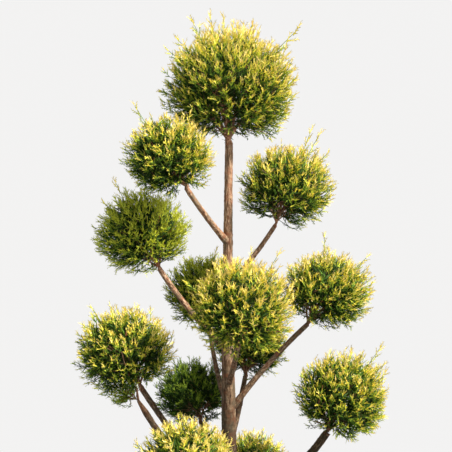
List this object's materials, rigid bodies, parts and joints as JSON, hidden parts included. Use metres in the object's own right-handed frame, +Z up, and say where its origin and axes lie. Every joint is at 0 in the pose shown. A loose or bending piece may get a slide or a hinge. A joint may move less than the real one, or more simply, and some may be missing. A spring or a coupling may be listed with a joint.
{
  "type": "potted pompom topiary",
  "caption": "Golden conifer trained as a topiary: clipped balls of foliage on bare boughs up one straight trunk, standing in a plain round pot.",
  "frame": {"origin": "centre of the pot's flat underside", "axes": "+Z up along the trunk; the side that the picture shows faces -Y, so +X is to its right"},
  "size_m": [0.8085, 0.7062, 1.9],
  "materials": {
    "clay": "matt unglazed terracotta with pale mineral bloom",
    "soil": "dark fibrous potting compost",
    "bark": "grey-brown to reddish bark, finely furrowed and peeling in strips",
    "foliage": "scale-leaved sprays, yellow-gold at the tips and green inside"
  },
  "bodies": {
    "root": {"pot": "clay", "soil": "soil", "trunk": "bark", "bough_upper_left": "bark", "bough_upper_right": "bark", "bough_middle_left": "bark", "bough_rear_left": "bark", "bough_front_centre": "bark", "bough_rear_right": "bark", "bough_middle_right": "bark", "bough_low_left": "bark", "bough_low_rear_left": "bark", "bough_low_right": "bark", "bough_low_front_left": "bark", "bough_low_rear_right": "bark", "bough_base_front_right": "bark", "bough_base_left": "bark", "bough_base_right": "bark", "bough_base_rear_left": "bark", "bough_low_left_tuft": "bark", "pompom_top": "foliage", "pompom_upper_left": "foliage", "pompom_upper_right": "foliage", "pompom_middle_left": "foliage", "pompom_rear_left": "foliage", "pompom_front_centre": "foliage", "pompom_rear_right": "foliage", "pompom_middle_right": "foliage", "pompom_low_left": "foliage", "pompom_low_rear_left": "foliage", "pompom_low_right": "foliage", "pompom_low_front_left": "foliage", "pompom_low_rear_right": "foliage", "pompom_base_front_right": "foliage", "pompom_base_left": "foliage", "pompom_base_right": "foliage", "pompom_base_rear_left": "foliage", "tuft_low_left": "foliage"}
  },
  "joints": []
}
